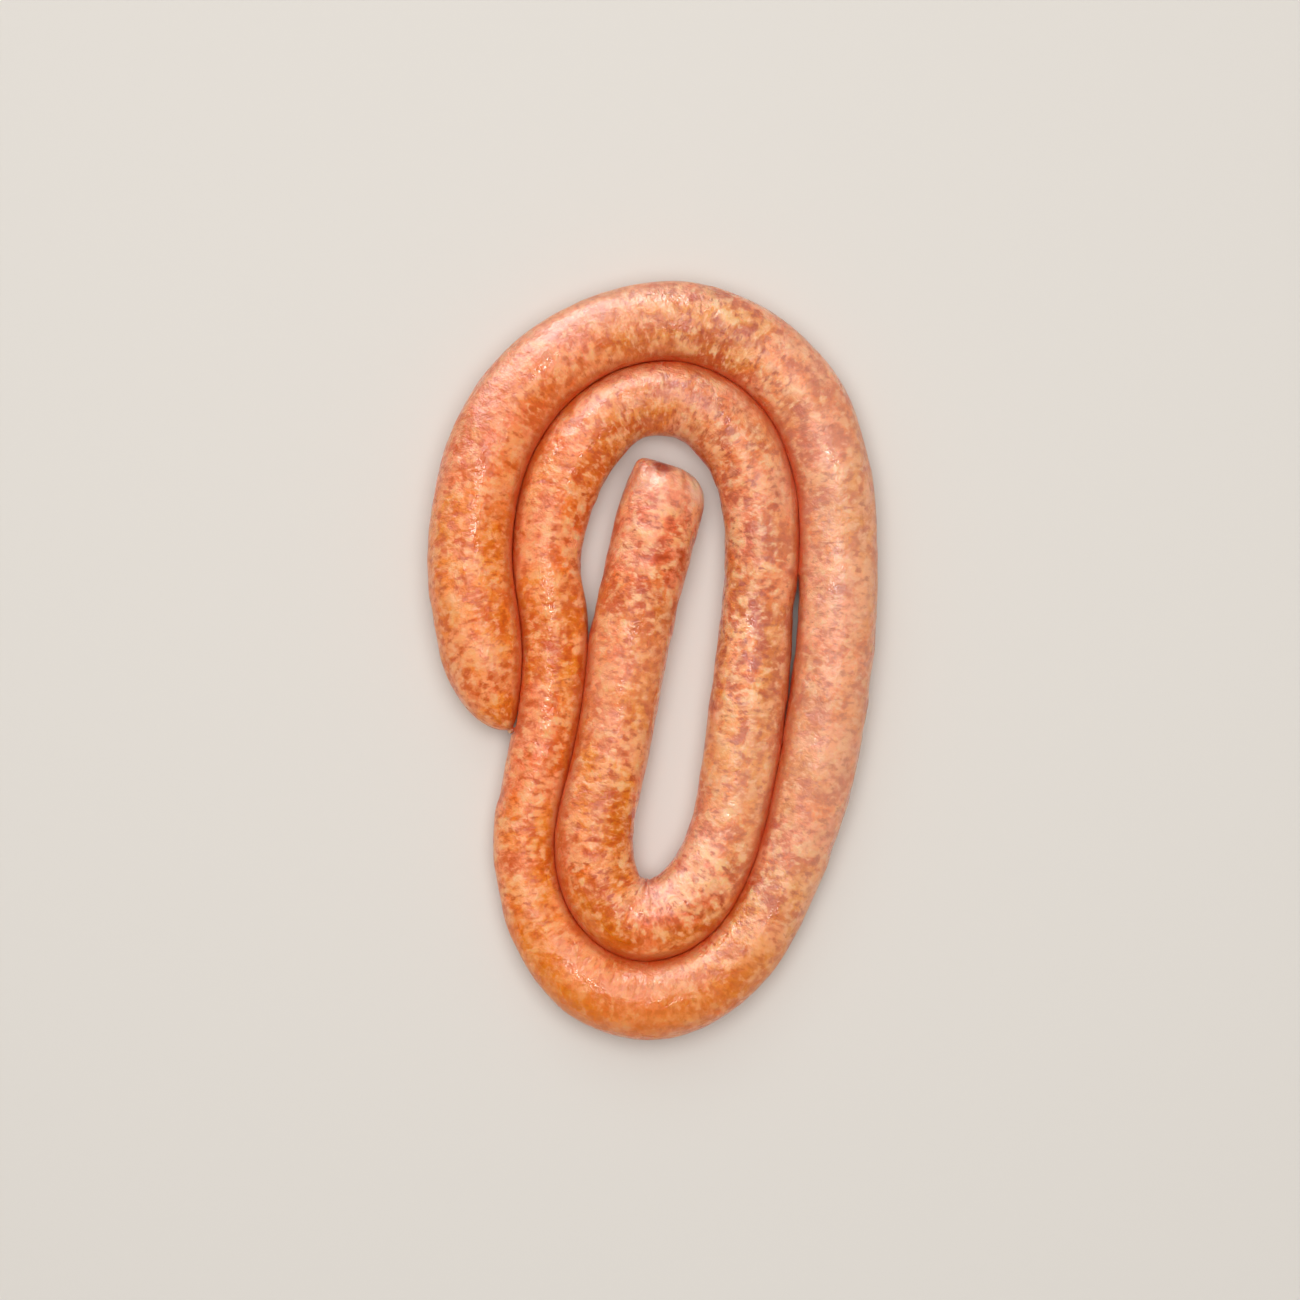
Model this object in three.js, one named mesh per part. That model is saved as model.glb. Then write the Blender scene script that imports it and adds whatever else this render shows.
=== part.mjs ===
// One unbroken length of fresh pork sausage in a natural casing, laid down as a flat oval coil of two turns.
// Millimetres, +Z up. The soft underside rests on z = 0, and the middle of the plan is over the origin.
import * as THREE from 'three';
import { ParametricGeometry } from 'three/addons/geometries/ParametricGeometry.js';

// Driving dimensions
const heightShare = 0.93; // height of the section before it sags, as a share of its width
const sag = 1.2; // how far its own weight flattens the underside
const turnGap = 0.4; // clear space left where one turn is pressed against the next
const creaseRadius = 1.2; // tightest bend of the skin on the inside of a turn
const endDroop = 0.15; // how far the tip of an end hangs, as a share of the height of the section
const ringSpacing = 6.5; // distance between cross-sections along the sausage
const endRings = 5; // cross-sections in each rounded end
const sides = 22; // corners of a cross-section
const skinColour = 0xe8996b;

// Each end is a superellipse. The powers say how blunt it is to its left, to its right and upwards.
const innerEnd = { length: 13, left: 2.1, right: 3.6, up: 2.2 }; // blunt end in the middle of the coil
const outerEnd = { length: 27, left: 1.5, right: 1.7, up: 2 }; // tapered end tucked against the turn beside it

// The way the sausage is laid, from its inner end to its outer end. Each stop is x, y and the width there.
const innerRun = [[5.6, 68.6, 26.5], [2, 49, 28.2], [-6.3, 14, 27], [-14, -31, 25.6]];
const innerFootBend = [
  [-20.3, -61, 26.8], [-15.5, -81.8, 27], [-4.5, -89.2, 27.4], [8, -86, 27.2], [18.3, -75, 26.2],
];
const innerRightRun = [[25.2, -58, 24.8], [32.3, -16, 26.3], [36, 22, 25], [37.5, 45, 26]];
const innerHeadBend = [[34, 64.5, 26.2], [24, 81, 26.4], [8.5, 89.3, 25.6], [-8, 88, 24.8], [-22, 76.5, 26]];
const leftRun = [[-32, 58.5, 25.5], [-36.5, 36, 23.5], [-34, 13, 23], [-35, -10, 22.6], [-39.8, -37, 21.8]];
const outerFootBend = [
  [-44.2, -60, 21], [-42.2, -80.5, 21.5], [-33.7, -98.8, 23.8], [-20, -111.7, 26],
  [-2, -116.7, 27], [15.5, -112.5, 26.5], [32, -98.5, 24.5],
];
const outerRightRun = [[46.5, -71, 24], [56.2, -37, 26.4], [62.6, 5, 27.4], [63.4, 38, 26.8]];
const outerHeadBend = [[61, 66, 26.4], [51.2, 91, 26.8], [31.5, 109, 27.2], [7, 116.4, 27.4], [-18, 111.4, 27.2]];
const outerRun = [
  [-42, 94.4, 28], [-57, 70, 28.4], [-62.6, 38, 29], [-60.2, 14, 29.2], [-54.4, -13, 27], [-48.6, -24.3, 26],
];

const stops = [
  innerRun, innerFootBend, innerRightRun, innerHeadBend, leftRun,
  outerFootBend, outerRightRun, outerHeadBend, outerRun,
].flat();

// The width rides along the route as if it were a height, so one curve gives both.
const route = new THREE.CatmullRomCurve3(stops.map((stop) => new THREE.Vector3(...stop)));
route.arcLengthDivisions = 2000;
const length = route.getLength();

// How far the section has swelled from a tip to its full size.
function swell(fromTip, end, way) {
  const left = Math.max(0, 1 - fromTip / end.length);
  return (1 - left ** end[way]) ** (1 / end[way]);
}

// A cross-section: its middle, the directions along and to the left of the route, and its half-size each way.
function sectionAt(distance) {
  const point = route.getPointAt(distance / length);
  const along = route.getTangentAt(distance / length).setZ(0).normalize();
  const halfWidth = point.z / 2;
  const swelled = (way) => swell(distance, innerEnd, way) * swell(length - distance, outerEnd, way);
  return {
    distance,
    halfWidth,
    middle: new THREE.Vector2(point.x, point.y),
    along: new THREE.Vector2(along.x, along.y),
    leftward: new THREE.Vector2(-along.y, along.x),
    left: halfWidth * swelled('left'),
    right: halfWidth * swelled('right'),
    up: halfWidth * heightShare * swelled('up'),
  };
}

// How far the skin may reach to one side before it meets the next turn. The next turn is where the line across
// this section crosses the route again, and the two share the space between them by their half-sizes there.
function roomBeside(section, way, others) {
  const outward = section.leftward.clone().multiplyScalar(way === 'left' ? 1 : -1);
  const otherWay = way === 'left' ? 'right' : 'left';
  let room = Infinity;
  for (let i = 1; i < others.length; i++) {
    const from = others[i - 1].middle.clone().sub(section.middle);
    const to = others[i].middle.clone().sub(section.middle);
    const before = from.dot(section.along);
    const after = to.dot(section.along);
    const isSelf = Math.abs(others[i].distance - section.distance) < 2 * section.halfWidth;
    if (isSelf || before * after > 0 || before === after) continue;
    const away = THREE.MathUtils.lerp(from.dot(outward), to.dot(outward), before / (before - after));
    if (away < 0) continue;
    const facing = others[i].along.dot(section.along) > 0 ? others[i][otherWay] : others[i][way];
    room = Math.min(room, (away * section[way]) / (section[way] + facing) - turnGap / 2);
  }
  return Math.max(room, 0);
}

// On the inside of a tight bend the skin folds into a crease, and never past the middle of the bend.
function roomInBend(before, section, after, way) {
  const turn = before.along.cross(after.along) * (way === 'left' ? 1 : -1);
  if (turn <= 0) return Infinity;
  return Math.max((after.distance - before.distance) / turn - creaseRadius, section.halfWidth / 2);
}

// Where the cross-sections stand: evenly along the body, closer together in the rounded ends.
function ringDistances() {
  const ease = (i) => 1 - Math.cos((i / endRings) * (Math.PI / 2));
  const inEnd = Array.from({ length: endRings }, (_, i) => ease(i));
  const body = length - innerEnd.length - outerEnd.length;
  const count = Math.round(body / ringSpacing);
  return [
    ...inEnd.map((share) => innerEnd.length * share),
    ...Array.from({ length: count + 1 }, (_, i) => innerEnd.length + (body * i) / count),
    ...inEnd.reverse().map((share) => length - outerEnd.length * share),
  ];
}

function layRings() {
  const rings = ringDistances().map(sectionAt);
  rings.forEach((ring, i) => {
    const before = rings[Math.max(0, i - 1)];
    const after = rings[Math.min(rings.length - 1, i + 1)];
    ring.leftRoom = Math.min(roomBeside(ring, 'left', rings), roomInBend(before, ring, after, 'left'));
    ring.rightRoom = Math.min(roomBeside(ring, 'right', rings), roomInBend(before, ring, after, 'right'));
  });
  return rings;
}

// A closed skin over the rings: each is an ellipse cut flat by the ground, and by the turns that press on it.
function skinOver(rings) {
  return new ParametricGeometry((u, v, target) => {
    const ring = rings[Math.round(u * (rings.length - 1))];
    const angle = -v * 2 * Math.PI;
    const fullUp = ring.halfWidth * heightShare;
    const middle = (fullUp - sag) - endDroop * (fullUp - ring.up);
    const spread = Math.cos(angle) > 0 ? ring.left : ring.right;
    const across = THREE.MathUtils.clamp(spread * Math.cos(angle), -ring.rightRoom, ring.leftRoom);
    target.set(
      ring.middle.x + ring.leftward.x * across,
      ring.middle.y + ring.leftward.y * across,
      Math.max(middle + ring.up * Math.sin(angle), 0),
    );
  }, rings.length - 1, sides);
}

function makeSausage() {
  const geometry = skinOver(layRings());
  geometry.computeBoundingBox();
  const middle = geometry.boundingBox.getCenter(new THREE.Vector3());
  const skin = new THREE.MeshStandardMaterial({ color: skinColour, roughness: 0.4, metalness: 0 });
  const sausage = new THREE.Mesh(geometry, skin);
  sausage.name = 'sausage_coil';
  sausage.position.set(-middle.x, -middle.y, 0);
  return sausage;
}

const part = new THREE.Group();
part.add(makeSausage());

export default part;
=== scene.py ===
import bpy
import numpy as np
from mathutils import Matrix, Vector


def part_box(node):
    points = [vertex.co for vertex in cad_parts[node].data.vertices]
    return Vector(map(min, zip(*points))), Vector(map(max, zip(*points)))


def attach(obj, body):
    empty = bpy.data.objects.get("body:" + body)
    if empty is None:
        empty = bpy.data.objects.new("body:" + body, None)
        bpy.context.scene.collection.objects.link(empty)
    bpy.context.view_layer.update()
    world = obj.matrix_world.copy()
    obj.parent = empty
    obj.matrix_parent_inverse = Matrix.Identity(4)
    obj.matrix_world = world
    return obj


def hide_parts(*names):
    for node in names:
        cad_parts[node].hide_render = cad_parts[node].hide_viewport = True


# A coil of raw pork sausage, two turns of one unbroken length, lying on a pale table.
# Shapes are worked out in millimetres in the CAD model's frame, and become metres as they enter a mesh.

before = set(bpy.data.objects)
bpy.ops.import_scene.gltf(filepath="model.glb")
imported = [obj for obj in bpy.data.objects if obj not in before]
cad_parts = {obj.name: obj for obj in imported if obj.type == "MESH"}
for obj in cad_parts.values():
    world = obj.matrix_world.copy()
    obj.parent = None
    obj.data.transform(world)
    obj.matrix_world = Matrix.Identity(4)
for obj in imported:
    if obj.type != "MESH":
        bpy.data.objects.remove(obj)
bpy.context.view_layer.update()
mm = 0.001


def linearColour(hexValue):
    # sRGB hex to the linear light that the shader works in
    shares = [int(hexValue[i:i + 2], 16) / 255 for i in (1, 3, 5)]
    return [s / 12.92 if s <= 0.04045 else ((s + 0.055) / 1.055) ** 2.4 for s in shares] + [1.0]


def addNode(tree, kind, values=None, links=None, **settings):
    # a node with its settings, the values on its sockets, and the outputs that feed them
    made = tree.nodes.new(kind)
    for name, value in settings.items():
        setattr(made, name, value)
    for socket, value in (values or {}).items():
        made.inputs[socket].default_value = value
    for socket, source in (links or {}).items():
        tree.links.new(source, made.inputs[socket])
    return made


def easeBetween(x, low, high):
    # smoothstep: 0 below low, 1 above high, and an S-curve between them
    t = np.clip((x - low) / (high - low), 0, 1)
    return t * t * (3 - 2 * t)


def latticeNoise(points, cell, seed):
    # random heights from -1 to 1 on the corners of a cubic lattice, blended by smoothstep inside each cube
    place = points / cell
    low = np.floor(place).astype(np.int64)
    t = place - low
    t = t * t * (3 - 2 * t)
    heights = np.random.default_rng(seed).uniform(-1, 1, 8192)
    total = np.zeros(points.shape[:-1])
    for corner in np.ndindex(2, 2, 2):
        x, y, z = np.moveaxis(low + corner, -1, 0)
        index = (x * 73856093 ^ y * 19349663 ^ z * 83492791) % len(heights)
        share = np.prod(np.where(corner, t, 1 - t), axis=-1)
        total += heights[index] * share
    return total


sausage = {
    "heightShare": 0.93,      # height of the section before it sags, as a share of its width
    "sag": 1.2,               # how far its own weight flattens the underside
    "tableBlend": 0.35,       # how softly the skin turns onto the table
    "turnGap": 0.02,          # clear space between two turns that press on each other
    "gapOpens": 0.5,          # a turn that falls short of its neighbour by less than this sticks to it
    "pressBlend": 0.06,       # how softly the skin turns into the contact
    "drawIn": 0.9,            # how far moisture draws the casings of two turns together
    "drawReach": 1.4,         # and from how far away
    "creaseReach": 4.2,       # how far out from the contact the painted shade of the crease reaches
    "creaseRadius": 1.2,      # tightest bend of the skin on the inside of a turn
    "innerEnd": {"length": 13, "left": 2.35, "right": 7, "up": 3.0},    # a higher power is blunter
    "outerEnd": {"length": 27, "left": 1.5, "right": 1.7, "up": 2.0},
    "endDroop": 0.15,         # how far the tip of an end hangs, as a share of the height of the section
    "knotLength": 1.5,        # a twist of empty casing on the outer end
    "knotRadius": 1.1,
    "stiffness": 10,          # half the length over which the filling evens out a bend
    "rings": 1064,
    "sides": 92,
    "crowding": 0.3,          # how much the sides close up towards the top of the section
    "lumps": [(19, 0.34, 11), (9, 0.28, 12), (5.2, 0.2, 13), (2.9, 0.1, 14)],    # size, height and seed
    "tips": (16, 20),         # how far in from each tip the lumps fade and the pleats run
    "tipLumps": 0.4,          # share of the lumps that is left at a tip
    "ripple": 0.45,           # height of the small folds all through a tight bend
    "fold": 1.0,              # depth of the fold at the middle of the tightest bend
    "foldLength": 1.8,        # and half its length
    "pleats": 15,             # folds of the casing that gather at each tip
    "pleatHeight": 0.35,
    "pleatSwirl": 1.2,        # how far they wander off the straight
    "opening": {"depth": 0.6, "from": 1.8, "length": 2, "aside": 4, "width": 3.4},    # at the inner tip,
    "rimHighlight": {"from": 5, "length": 5.5},                 # with the edge of the casing beside it, painted pale as a highlight on a shoulder that faces away from the light
    "fatter": [(75, 0.8), (225, 1.0), (735, 0.45), (924, 0.5)],    # how far from the inner tip, and how much
    "leaner": [(324, 0.4), (374, 1.0), (624, 0.75), (924, 0.5), (973, 0.7)],
    "stretch": 30,            # half the length of a fatter or leaner stretch
    "shear": 0.22,            # how far the pattern of the mince shifts up for each step along
}

# stops along the way it is laid, from the inner end to the outer end: x, y and the width there
innerRun = [(7.5, 66.4, 26.2), (2, 49, 28.2), (-6.3, 14, 27), (-14, -31, 25.6)]
innerFootBend = [
    (-20.3, -61, 26.8), (-15.5, -81.8, 27), (-4.5, -89.2, 27.4), (8, -86, 27.2), (18.3, -75, 26.2),
]
innerRightRun = [(25.2, -58, 24.8), (32.3, -16, 26.3), (36, 22, 24.2), (37.5, 45, 26)]
innerHeadBend = [(34, 64.5, 26.2), (24, 81, 26.4), (8.5, 89.3, 25.6), (-8, 88, 24.8), (-22, 76.5, 26)]
leftRun = [(-32, 58.5, 25.5), (-36.5, 36, 23.5), (-34, 13, 23), (-35, -10, 22.6), (-39.8, -37, 21.8)]
outerFootBend = [
    (-44.2, -60, 21), (-42.2, -80.5, 21.5), (-33.7, -98.8, 23.8), (-20, -111.7, 26),
    (-2, -116.7, 27), (15.5, -112.5, 26.5), (32, -98.5, 24.5),
]
outerRightRun = [(46.5, -71, 24), (56.2, -37, 26.4), (62.6, 5, 27.0), (63.4, 38, 26.8)]
outerHeadBend = [(61, 66, 26.4), (51.2, 91, 26.8), (31.5, 109, 27.2), (7, 116.4, 27.4), (-18, 111.4, 27.2)]
outerRun = [
    (-42, 94.4, 28), (-57, 70, 28.4), (-62.6, 38, 29), (-60.2, 14, 29.2), (-54.4, -13, 27),
    (-48.2, -24.9, 26),
]
stops = (innerRun + innerFootBend + innerRightRun + innerHeadBend + leftRun
         + outerFootBend + outerRightRun + outerHeadBend + outerRun)


def curveThrough(points, perSpan):
    # centripetal Catmull-Rom: the parameter grows by the square root of each span, so the curve never loops
    points = np.array(points, float)
    padded = np.vstack([2 * points[0] - points[1], points, 2 * points[-1] - points[-2]])
    step = np.sqrt(np.linalg.norm(np.diff(padded, axis=0), axis=1))[:, None]
    slope = np.diff(padded, axis=0) / step
    a, b, c = slope[:-2], slope[1:-1], slope[2:]
    before, here, after = step[:-2], step[1:-1], step[2:]
    startPull = (a - (a * before + b * here) / (before + here) + b) * here
    endPull = (b - (b * here + c * after) / (here + after) + c) * here
    u = np.linspace(0, 1, perSpan, endpoint=False)[None, :, None]
    start, end = points[:-1, None], points[1:, None]
    curve = (start * (2 * u**3 - 3 * u**2 + 1) + startPull[:, None] * (u**3 - 2 * u**2 + u)
             + end * (3 * u**2 - 2 * u**3) + endPull[:, None] * (u**3 - u**2))
    return np.vstack([curve.reshape(-1, 3), points[-1:]])


def evenOut(values, halfWindow):
    # a moving average with a cosine-shaped window, with the ends carried on by mirroring through them
    window = np.hanning(2 * halfWindow + 3)[1:-1]
    window /= window.sum()
    head = 2 * values[0] - values[halfWindow:0:-1]
    tail = 2 * values[-1] - values[-2:-halfWindow - 2:-1]
    padded = np.concatenate([head, values, tail])
    return np.stack([np.convolve(padded[:, k], window, "valid") for k in range(values.shape[1])], axis=1)


def lengthAlong(points):
    # the sum of the steps between the points so far
    steps = np.linalg.norm(np.diff(points[:, :2], axis=0), axis=1)
    return np.concatenate([[0], np.cumsum(steps)])


def swell(fromTip, end, way):
    # how far the section has grown from a tip to its full size: a superellipse
    return (1 - np.clip(1 - fromTip / end["length"], 0, 1) ** end[way]) ** (1 / end[way])


def ringDistances(length):
    # an even spacing along the body, closing up towards the tips as the cosine of a quarter turn
    inner, outer = sausage["innerEnd"]["length"], sausage["outerEnd"]["length"]
    inEnd = sausage["rings"] // 30
    ease = 1 - np.cos(np.linspace(0, np.pi / 2, inEnd, endpoint=False))
    body = np.linspace(inner, length - outer, sausage["rings"] - 2 * inEnd)
    return np.concatenate([inner * ease, body, (length - outer * ease)[::-1]])


def layRoute():
    # the middle line and its width, even steps apart, evened out as the stiffness of the filling does
    curve = curveThrough(stops, 60)
    distance = lengthAlong(curve)
    even = np.linspace(0, distance[-1], 1400)
    route = np.stack([np.interp(even, distance, curve[:, k]) for k in range(3)], axis=1)
    route = evenOut(route, round(sausage["stiffness"] / even[1]))
    distance = lengthAlong(route)
    along = np.gradient(route[:, :2], distance, axis=0)
    heading = np.unwrap(np.arctan2(along[:, 1], along[:, 0]))
    bend = np.gradient(heading, distance)
    at = ringDistances(distance[-1])
    pick = lambda values: np.interp(at, distance, values)
    heading = pick(heading)
    return {
        "distance": at,
        "length": distance[-1],
        "middle": np.stack([pick(route[:, 0]), pick(route[:, 1])], axis=1),
        "along": np.stack([np.cos(heading), np.sin(heading)], axis=1),
        "leftward": np.stack([-np.sin(heading), np.cos(heading)], axis=1),
        "halfWidth": pick(route[:, 2]) / 2,
        "bend": pick(bend),
    }


def roomBeside(route, way):
    # Free half-width on one side. The next turn is where the line across a ring crosses the route again, and
    # the two share the space by their half-sizes. In a bend the skin stops short of the bend's middle.
    side = 1 if way == "left" else -1
    own = route[way]
    other = route["right" if way == "left" else "left"]
    toEach = route["middle"][None] - route["middle"][:, None]
    ahead = np.einsum("ijk,ik->ij", toEach, route["along"])
    aside = np.einsum("ijk,ik->ij", toEach, route["leftward"]) * side
    crosses = ahead[:, :-1] * ahead[:, 1:] <= 0
    share = ahead[:, :-1] / np.where(crosses, ahead[:, :-1] - ahead[:, 1:], 1)
    away = aside[:, :-1] + (aside[:, 1:] - aside[:, :-1]) * share
    sameWay = route["along"] @ route["along"].T > 0
    facing = np.where(sameWay, other[None], own[None])[:, :-1]
    apart = np.abs(route["distance"][None, :-1] - route["distance"][:, None])
    isNext = crosses & (away > 0) & (apart > 2 * route["halfWidth"][:, None])
    room = away * own[:, None] / (own[:, None] + facing + 1e-9) - sausage["turnGap"] / 2
    nearest = np.where(isNext, room, np.inf).min(axis=1)
    radius = 1 / np.maximum(route["bend"] * side, 1e-6)
    inBend = np.maximum(radius - sausage["creaseRadius"], route["halfWidth"] / 2)
    return np.clip(np.minimum(nearest, inBend), 0, 99)


def softLimit(value, limit, blend):
    # the smaller of the two, with the corner between them rounded over a few blends
    return limit - blend * np.logaddexp(0, (limit - value) / blend)


def bumpsAlong(distance, bumps):
    # a bell curve along the length for each place and height
    return sum(height * np.exp(-(((distance - at) / sausage["stretch"]) ** 2)) for at, height in bumps)


def sausageGrid():
    # Ring by ring, an ellipse around the route: across = half-width x cosine, up = half-height x sine. Lumps
    # push it out, then the turns beside it and the table press it flat, with rounded edges.
    route = layRoute()
    distance, fromEnd = route["distance"], route["length"] - route["distance"]
    onKnot = (fromEnd > 0) & (fromEnd < 5)
    twist = sausage["knotRadius"] * easeBetween(fromEnd, -0.4, 0.6) * onKnot
    for way in ("left", "right", "up"):
        filled = swell(distance, sausage["innerEnd"], way)
        filled = filled * swell(fromEnd - sausage["knotLength"], sausage["outerEnd"], way)
        route[way] = np.maximum(route["halfWidth"] * filled, twist)
    fullUp = route["halfWidth"] * sausage["heightShare"]
    halfUp = route["up"] * sausage["heightShare"]
    turn = np.linspace(0, 2 * np.pi, sausage["sides"], endpoint=False)[None]
    angle = turn + sausage["crowding"] * np.cos(turn)
    cosine, sine = np.cos(angle), np.sin(angle)

    # where a spot would be if the sausage were laid out straight
    straight = np.stack([
        np.broadcast_to(distance[:, None], (len(distance), sausage["sides"])),
        route["halfWidth"][:, None] * cosine,
        route["halfWidth"][:, None] * sine,
    ], axis=-1)

    lump = sum(height * latticeNoise(straight, size, seed) for size, height, seed in sausage["lumps"])
    innerTip, outerTip = sausage["tips"]
    nearTip = np.maximum(easeBetween(-distance, -innerTip, 0), easeBetween(-fromEnd, -outerTip, 0))[:, None]
    lump = lump * (1 - (1 - sausage["tipLumps"]) * nearTip)

    # the casing folds where it is pressed together on the inside of a tight bend
    squeeze = np.clip(np.abs(route["bend"]) * route["halfWidth"], 0, 1)
    inward = np.clip(cosine * np.sign(route["bend"])[:, None], 0, 1) ** 1.5
    pinched = easeBetween(squeeze, 0.5, 0.95)[:, None] * inward
    folds = sausage["ripple"] * pinched * latticeNoise(straight * [1, 0.25, 0.25], 1.9, 21)
    fromTightest = (distance - distance[np.argmax(squeeze)]) / sausage["foldLength"]
    folds -= sausage["fold"] * np.exp(-fromTightest**2)[:, None] * inward

    # pleats of the casing that run into each tip
    swirl = latticeNoise(straight * [0.6, 1, 1], 6, 22) * sausage["pleatSwirl"]
    pleats = sausage["pleatHeight"] * nearTip ** 3 * np.cos(sausage["pleats"] * angle + swirl)

    # each side widens over a small gap, is drawn to its neighbour above the contact, and stops there
    grown = 1 + (lump + folds + pleats) / route["halfWidth"][:, None]
    reach = np.where(cosine > 0, route["left"][:, None], route["right"][:, None])
    across = reach * cosine * grown
    leftRoom, rightRoom = roomBeside(route, "left")[:, None], roomBeside(route, "right")[:, None]
    for side, room in ((1, leftRoom), (-1, rightRoom)):
        slack = room - (across * side).max(axis=1, keepdims=True)
        isSmall = easeBetween(-slack, -sausage["gapOpens"] - 0.2, -sausage["gapOpens"])
        across += side * np.maximum(slack, 0) * isSmall * np.clip(cosine * side, 0, 1) ** 2
        short = np.maximum(room - across * side, 0)
        drawn = sausage["drawIn"] * np.exp(-short / sausage["drawReach"]) * (sine > 0)
        across = softLimit(across * side + drawn, room, sausage["pressBlend"]) * side
    # painted shade: how close each spot lies to the contact with the next turn on either side
    towardsLeft = easeBetween(across, leftRoom - sausage["creaseReach"], leftRoom)
    towardsRight = easeBetween(-across, rightRoom - sausage["creaseReach"], rightRoom)

    # at the inner tip the casing stands open on one side of its top, beside the edge of the casing, which is
    # painted pale as a highlight
    gap, rimHighlight = sausage["opening"], sausage["rimHighlight"]
    fromGap = ((distance[:, None] - gap["from"]) / gap["length"]) ** 2
    besideGap = ((across + gap["aside"]) / gap["width"]) ** 2
    opening = np.exp(-fromGap - besideGap) * (sine > 0)
    fromRim = ((distance[:, None] - rimHighlight["from"]) / rimHighlight["length"]) ** 2

    middleUp = (fullUp - sausage["sag"]) - sausage["endDroop"] * (fullUp - halfUp)
    up = middleUp[:, None] + halfUp[:, None] * sine * grown - gap["depth"] * opening
    up = -softLimit(-up, 0, sausage["tableBlend"])
    place = np.stack([
        route["middle"][:, :1] + route["leftward"][:, :1] * across,
        route["middle"][:, 1:] + route["leftward"][:, 1:] * across,
        np.maximum(up, 0),
    ], axis=-1)

    # how much each spot belongs to a place that has a colour of its own, or to the painted shade of the
    # crease and the painted highlight of the rim, from 0 to 1
    allRound = np.ones_like(sine)
    marks = {
        "fatter": bumpsAlong(distance, sausage["fatter"])[:, None] * allRound,
        "leaner": bumpsAlong(distance, sausage["leaner"])[:, None] * allRound,
        "pinched": pinched,
        "rimHighlight": np.exp(-fromRim) * easeBetween(cosine, 0.35, 0.85) * (sine > -0.3),
        "opening": opening,
        "knot": np.exp(-((fromEnd / 1.6) ** 4))[:, None] * allRound,
        "creaseShade": np.maximum(towardsLeft, towardsRight),
    }
    return place, straight, marks


def closedSkin(name, grid):
    # quads between neighbouring rings, facing outwards, and a fan of triangles from each tip
    rings, sides = grid.shape[:2]
    spots = onSpots(grid)
    tip = (rings - 2) * sides
    ring, side = np.meshgrid(np.arange(rings - 3), np.arange(sides), indexing="ij")
    after = (side + 1) % sides
    here, there = ring * sides, (ring + 1) * sides
    quads = np.stack([here + side, here + after, there + after, there + side], axis=-1)
    first = np.arange(sides)
    last = (rings - 3) * sides + first
    startFan = np.stack([np.roll(first, -1), first, np.full(sides, tip)], axis=-1)
    endFan = np.stack([last, np.roll(last, -1), np.full(sides, tip + 1)], axis=-1)
    mesh = bpy.data.meshes.new(name)
    mesh.from_pydata(spots * mm, [], quads.reshape(-1, 4).tolist() + startFan.tolist() + endFan.tolist())
    mesh.polygons.foreach_set("use_smooth", np.ones(len(mesh.polygons), bool))
    mesh.update()
    return mesh


def onSpots(grid):
    # a value for each ring and side, in the order of the mesh's vertices: the rings, then the two tips
    width = grid.shape[2:]
    return np.concatenate([grid[1:-1].reshape(-1, *width), grid[:1, 0], grid[-1:, 0]])


def makeSausage():
    # the middle of the coil is put where the CAD model has it
    place, straight, marks = sausageGrid()
    low, high = place.reshape(-1, 3).min(axis=0), place.reshape(-1, 3).max(axis=0)
    cadLow, cadHigh = [np.array(corner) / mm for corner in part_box("sausage_coil")]
    place[..., :2] += ((cadLow + cadHigh) / 2 - (low + high) / 2)[:2]
    mesh = closedSkin("sausageSkin", place)

    # where the mince sits: the place itself, sheared by the way along, so that two turns side by side differ
    filling = place + straight[..., :1] * [0, 0, sausage["shear"]]
    for name, grid in (("filling", filling * mm), ("casing", straight * mm)):
        spots = mesh.attributes.new(name, "FLOAT_VECTOR", "POINT")
        spots.data.foreach_set("vector", onSpots(grid).ravel())
    for name, grid in marks.items():
        mesh.attributes.new(name, "FLOAT", "POINT").data.foreach_set("value", onSpots(grid))
    piece = bpy.data.objects.new("sausageSkin", mesh)
    bpy.context.collection.objects.link(piece)
    print("sausage:", len(mesh.vertices), "vertices,", len(mesh.polygons), "faces")
    return piece


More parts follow.
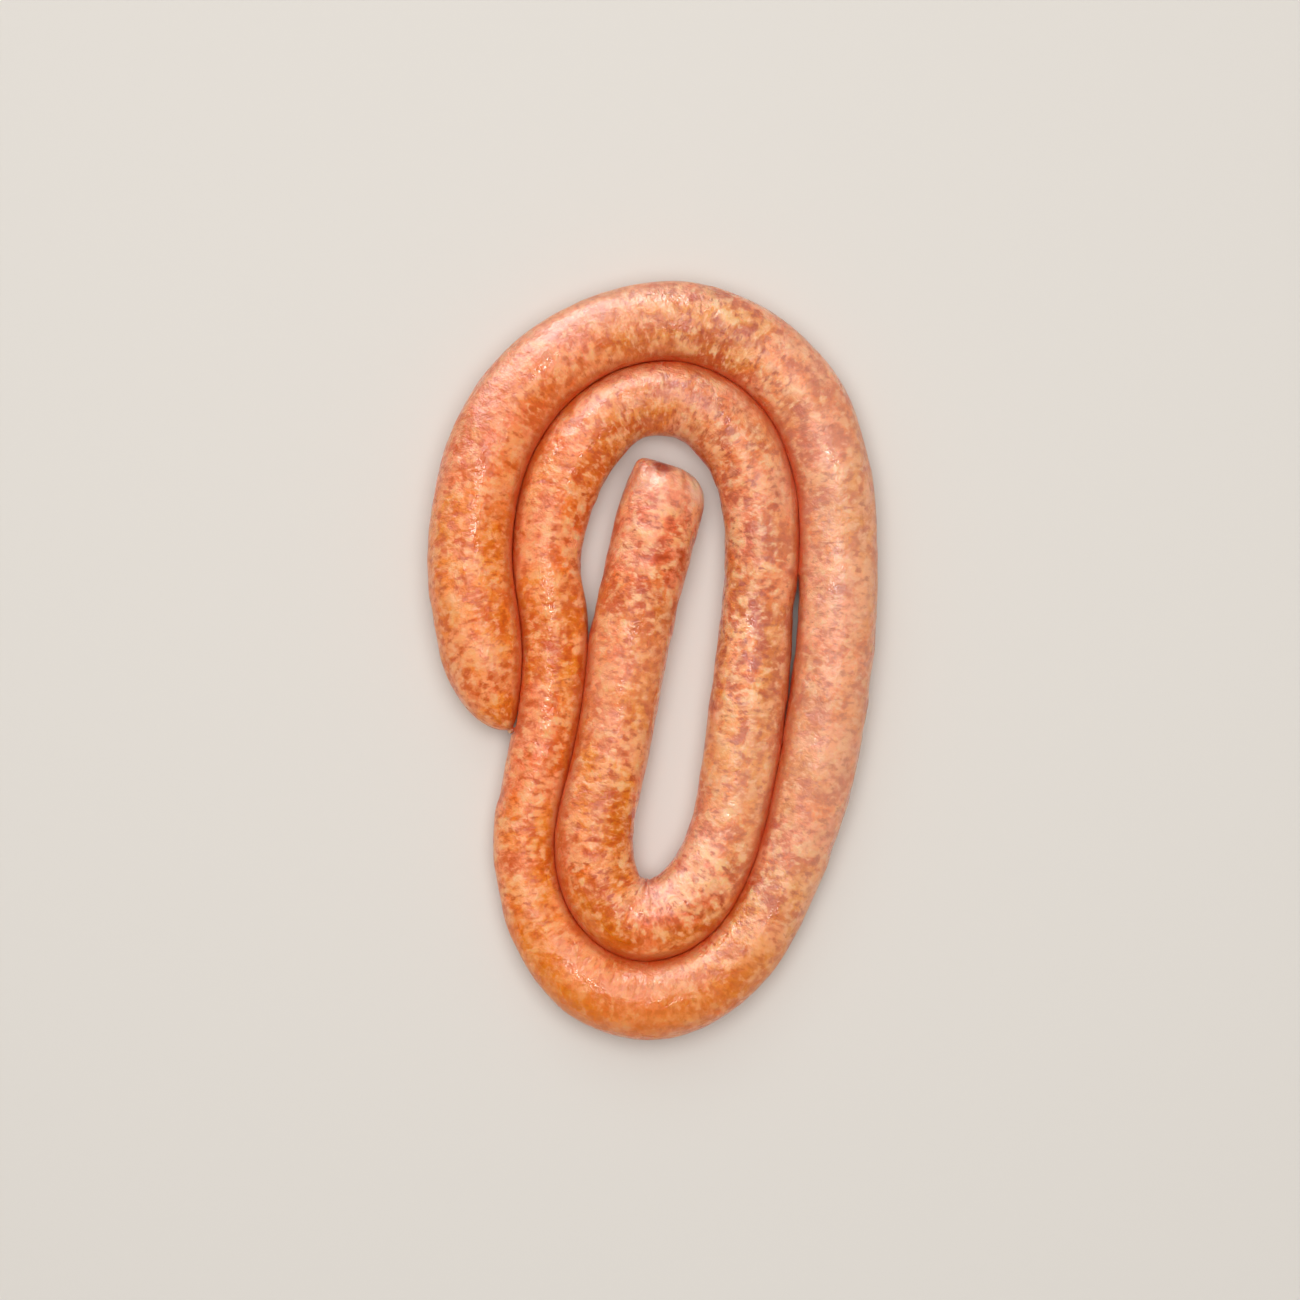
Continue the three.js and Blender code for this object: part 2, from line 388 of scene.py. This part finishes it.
# Fresh coarse pork sausage: minced lean and fat under a thin, moist, half-clear casing. The eye sees soft
# flecks of salmon, orange and cream through the casing, a broad pale sheen on its crown and small broken
# glints where it is wet.
mince = {
    "grain": 3.0 * mm,        # lean and fat as the plate of the mincer cuts them
    "shred": 1.6 * mm,        # torn bits between the grains
    "mottle": 5.0 * mm,       # where the grains crowd together
    "blot": 12 * mm,          # leaner and fatter patches
    "tone": 24 * mm,          # slow change from pink to gold along the sausage
    "smear": 4.0 * mm,        # how far the nozzle drags the grains out of shape
    "shredPull": (1.5, 0.85, 0.85),    # the shreds lie a little across the sausage
    "run": 3.5 * mm,          # wet streaks, stretched along the sausage
    "runPull": (0.3, 1, 1),
    "runPlace": (0.31, 0.0025, 0),    # slides the streaks to where they lie
    "relief": 1.6 * mm,       # how proud the grains stand under the casing
    "crinkle": 0.22 * mm,     # and how deep the casing itself wrinkles
    "wetRoughness": 0.12,
    "dryRoughness": 0.46,
    "lean": "#F2842C",
    # what lies over the lean, in turn: pattern, where it starts, where it is full, how strong, its colour
    "layers": [
        ("tone", 0.50, 0.40, 0.85, "#E89818"),
        ("tone", 0.50, 0.60, 0.80, "#F4825C"),
        ("fromTip", 1.00, 1.06, 0.70, "#FC9C34"),          # more golden towards the outer end
        ("blot", 0.50, 0.39, 0.75, "#D06E0A"),
        ("blot", 0.50, 0.61, 0.75, "#FEB48C"),
        ("mottle", 0.52, 0.36, 0.82, "#C44A0A"),
        ("mottle", 0.48, 0.66, 0.85, "#FFBE84"),
        ("leanGrain", 0.40, 0.95, 0.78, "#BE3E0E"),
        ("fatGrain", 0.40, 0.95, 0.80, "#FFCC96"),
        ("shred", 0.50, 0.72, 0.75, "#FFD6A8"),
        ("shred", 0.50, 0.28, 0.88, "#AE360A"),
        ("fatter", 0.0, 1.0, 0.32, "#FFBE96"),
        ("leaner", 0.0, 1.0, 0.32, "#CD825C"),
        ("acrossX", 0.015, 0.065, 0.48, "#EEB496"),        # pinker on one side of the coil,
        ("acrossX", 0.03, -0.05, 0.36, "#FC8010"),         # more orange on the other
        ("alongY", -0.070, -0.118, 0.50, "#EE8814"),       # and at its foot
        ("acrossIt", 0.0075, 0.0135, 0.28, "#D85E10"),     # both flanks painted darker and more orange: painted shade where the sides turn away from the light
        ("acrossIt", -0.0075, -0.0135, 0.28, "#D85E10"),
        ("pinched", 0.1, 0.9, 0.55, "#F0B098"),
        ("fromTip", 0.022, 0.006, 0.45, "#F6B496"),        # paler casing at the inner end
        ("opening", 0.1, 0.75, 0.88, "#A63A1E"),
        ("veil", 0.52, 0.74, 0.10, "#F6C4AC"),             # milky spots in the casing
        # the casing's edge at the inner tip: its pale colour is a painted highlight on a shoulder that faces
        # away from the light
        ("rimHighlight", 0.15, 0.9, 0.72, "#FFD8B8"),
        ("knot", 0.2, 0.7, 0.8, "#FBDCB8"),
        ("creaseShade", 0.0, 0.75, 0.52, "#B44A10"),            # painted shade between two turns,
        ("creaseShade", 0.7, 1.0, 0.6, "#D04A18"),              # with a redder core painted as light glowing through the mince
    ],
}


def sausageSkinMaterial():
    skin = bpy.data.materials.new("moistCasingOverPorkMince")
    skin.use_nodes = True
    tree = skin.node_tree
    tree.nodes.clear()
    filling = addNode(tree, "ShaderNodeAttribute", attribute_name="filling").outputs["Vector"]
    casing = addNode(tree, "ShaderNodeAttribute", attribute_name="casing").outputs["Vector"]
    centre = addNode(tree, "ShaderNodeTexCoord").outputs["Object"]
    onTable = addNode(tree, "ShaderNodeSeparateXYZ", links={0: centre})
    onCasing = addNode(tree, "ShaderNodeSeparateXYZ", links={0: casing})

    # the nozzle smears the grains: their places are pushed about by a wider noise
    push = addNode(tree, "ShaderNodeTexNoise", {"Scale": 0.4 / mince["grain"], "Detail": 3.0},
                   {"Vector": filling})
    smeared = addNode(tree, "ShaderNodeVectorMath", {1: (mince["smear"],) * 3},
                      {0: push.outputs["Color"], 2: filling}, operation="MULTIPLY_ADD").outputs[0]
    grains = addNode(tree, "ShaderNodeTexVoronoi", {"Scale": 1 / mince["grain"], "Smoothness": 1.0},
                     {"Vector": smeared}, feature="SMOOTH_F1")
    kinds = addNode(tree, "ShaderNodeSeparateColor", links={0: grains.outputs["Color"]})
    pulled = addNode(tree, "ShaderNodeMapping", {"Scale": mince["shredPull"]}, {"Vector": casing}).outputs[0]
    streaked = addNode(tree, "ShaderNodeMapping", {"Scale": mince["runPull"], "Location": mince["runPlace"]},
                       {"Vector": casing}).outputs[0]

    patterns = {
        "fatGrain": kinds.outputs[0],
        "leanGrain": kinds.outputs[1],
        "acrossX": onTable.outputs[0],
        "alongY": onTable.outputs[1],
        "fromTip": onCasing.outputs[0],
        "acrossIt": onCasing.outputs[1],
    }
    # each noise: its scale, detail, roughness and the place it reads
    noises = {
        "tone": (0.5 / mince["tone"], 1.0, 0.5, filling),
        "blot": (0.5 / mince["blot"], 2.0, 0.5, filling),
        "mottle": (0.5 / mince["mottle"], 4.0, 0.68, smeared),
        "shred": (0.5 / mince["shred"], 2.0, 0.6, pulled),
        "veil": (0.4 / mince["mottle"], 4.0, 0.65, casing),
        "runs": (0.5 / mince["run"], 2.0, 0.5, streaked),
    }
    for name, (scale, detail, rough, place) in noises.items():
        noise = addNode(tree, "ShaderNodeTexNoise", {"Scale": scale, "Detail": detail, "Roughness": rough},
                        {"Vector": place})
        patterns[name] = noise.outputs[0]
    for name in ("fatter", "leaner", "pinched", "rimHighlight", "opening", "knot", "creaseShade"):
        patterns[name] = addNode(tree, "ShaderNodeAttribute", attribute_name=name).outputs["Fac"]

    colour = None
    for pattern, start, full, strength, paint in mince["layers"]:
        share = addNode(tree, "ShaderNodeMapRange", {"From Min": start, "From Max": full, "To Max": strength},
                        {"Value": patterns[pattern]}, interpolation_type="SMOOTHSTEP")
        layer = addNode(tree, "ShaderNodeMix", {6: linearColour(mince["lean"]), 7: linearColour(paint)},
                        {0: share.outputs[0]}, data_type="RGBA")
        if colour:
            tree.links.new(colour, layer.inputs[6])
        colour = layer.outputs[2]

    # The grains stand a little proud under the moisture, and the casing dries to a fine crinkle between
    # wet streaks.
    relief = addNode(tree, "ShaderNodeBump", {"Strength": 0.8, "Distance": mince["relief"]},
                     {"Height": patterns["mottle"]}).outputs[0]
    crinkle = addNode(tree, "ShaderNodeBump", {"Strength": 0.4, "Distance": mince["crinkle"]},
                      {"Height": patterns["shred"], "Normal": relief}).outputs[0]
    wet = addNode(tree, "ShaderNodeMapRange", {
        "From Min": 0.68, "From Max": 0.51, "To Min": mince["wetRoughness"], "To Max": mince["dryRoughness"],
    }, {"Value": patterns["runs"]}).outputs[0]
    surface = addNode(tree, "ShaderNodeBsdfPrincipled", {
        "IOR": 1.45, "Subsurface Weight": 1.0, "Subsurface Radius": (0.9, 0.4, 0.2),
        "Subsurface Scale": 1.5 * mm, "Coat Weight": 0.62, "Coat IOR": 1.55, "Coat Roughness": 0.46,
    }, {"Base Color": colour, "Roughness": wet, "Normal": crinkle, "Coat Normal": relief})
    addNode(tree, "ShaderNodeOutputMaterial", links={"Surface": surface.outputs[0]})
    print("casing:", len(mince["layers"]), "layers of colour")
    return skin


studio = {
    "tableColour": "#DCD8D2",
    "tableRoughness": 0.7,
    "tableSpecular": 0.1,
    "tableSize": 9.0,
    "cameraHeight": 1.3,      # above the widest part of the sausage
    "frameWidth": 0.4446,     # what the picture takes in, across the sausage's middle
    "frameMiddle": (-0.0009, 0.0036),
    "sensor": 36.0,
    "airLight": 0.31,
    "airColour": "#FFF7EE",
    # Name, place, diameter, power and use of each softbox. All of them face the middle of the table. The
    # gloss ones give the moist casing its sheen and glints, and the matte one fills in from above.
    "softboxes": [
        ("topSoftbox", (0, 0.1, 1.7), 1.6, 22.3, "matte"),
        ("keySoftbox", (-0.30, 1.0, 1.25), 1.5, 4.5, "all"),
        ("sheenSoftbox", (-0.70, 1.45, 0.65), 1.7, 66, "gloss"),
        ("glintSoftbox", (-0.04, 0.2, 1.5), 0.32, 7.0, "gloss"),
    ],
}


def makeTable():
    # matte lacquer: even and dull, so that only the sausage has a sheen
    half = studio["tableSize"] / 2
    corners = [(-half, -half, 0), (half, -half, 0), (half, half, 0), (-half, half, 0)]
    mesh = bpy.data.meshes.new("table")
    mesh.from_pydata(corners, [], [(0, 1, 2, 3)])
    table = bpy.data.objects.new("table", mesh)
    bpy.context.collection.objects.link(table)
    paint = bpy.data.materials.new("matteTableLacquer")
    paint.use_nodes = True
    shader = paint.node_tree.nodes["Principled BSDF"]
    shader.inputs["Base Color"].default_value = linearColour(studio["tableColour"])
    shader.inputs["Roughness"].default_value = studio["tableRoughness"]
    shader.inputs["Specular IOR Level"].default_value = studio["tableSpecular"]
    table.data.materials.append(paint)


def makeLights():
    for name, place, diameter, power, use in studio["softboxes"]:
        data = bpy.data.lights.new(name, "AREA")
        data.shape = "DISK"
        data.size = diameter
        data.energy = power
        light = bpy.data.objects.new(name, data)
        light.visible_diffuse = use != "gloss"
        light.visible_glossy = use != "matte"
        light.location = place
        light.rotation_euler = (-Vector(place)).to_track_quat("-Z", "Y").to_euler()
        bpy.context.collection.objects.link(light)
    world = bpy.data.worlds.new("studioAir")
    bpy.context.scene.world = world
    world.use_nodes = True
    world.cycles_visibility.glossy = False    # the wet casing mirrors only the softboxes, as in a dark room
    air = world.node_tree.nodes["Background"]
    air.inputs["Color"].default_value = linearColour(studio["airColour"])
    air.inputs["Strength"].default_value = studio["airLight"]


def makeCamera():
    # straight down, with the length of the coil up the picture
    data = bpy.data.cameras.new("camera")
    data.sensor_width = studio["sensor"]
    data.lens = studio["sensor"] * studio["cameraHeight"] / studio["frameWidth"]
    camera = bpy.data.objects.new("camera", data)
    x, y = studio["frameMiddle"]
    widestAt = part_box("sausage_coil")[1][2] / 2
    camera.location = (x, y, studio["cameraHeight"] + widestAt)
    bpy.context.collection.objects.link(camera)
    bpy.context.scene.camera = camera


piece = makeSausage()
piece.data.materials.append(sausageSkinMaterial())
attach(piece, "root")
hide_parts("sausage_coil")
makeTable()
makeLights()
makeCamera()
bpy.context.scene.view_settings.view_transform = "Standard"
print("table, lights and camera are in place")
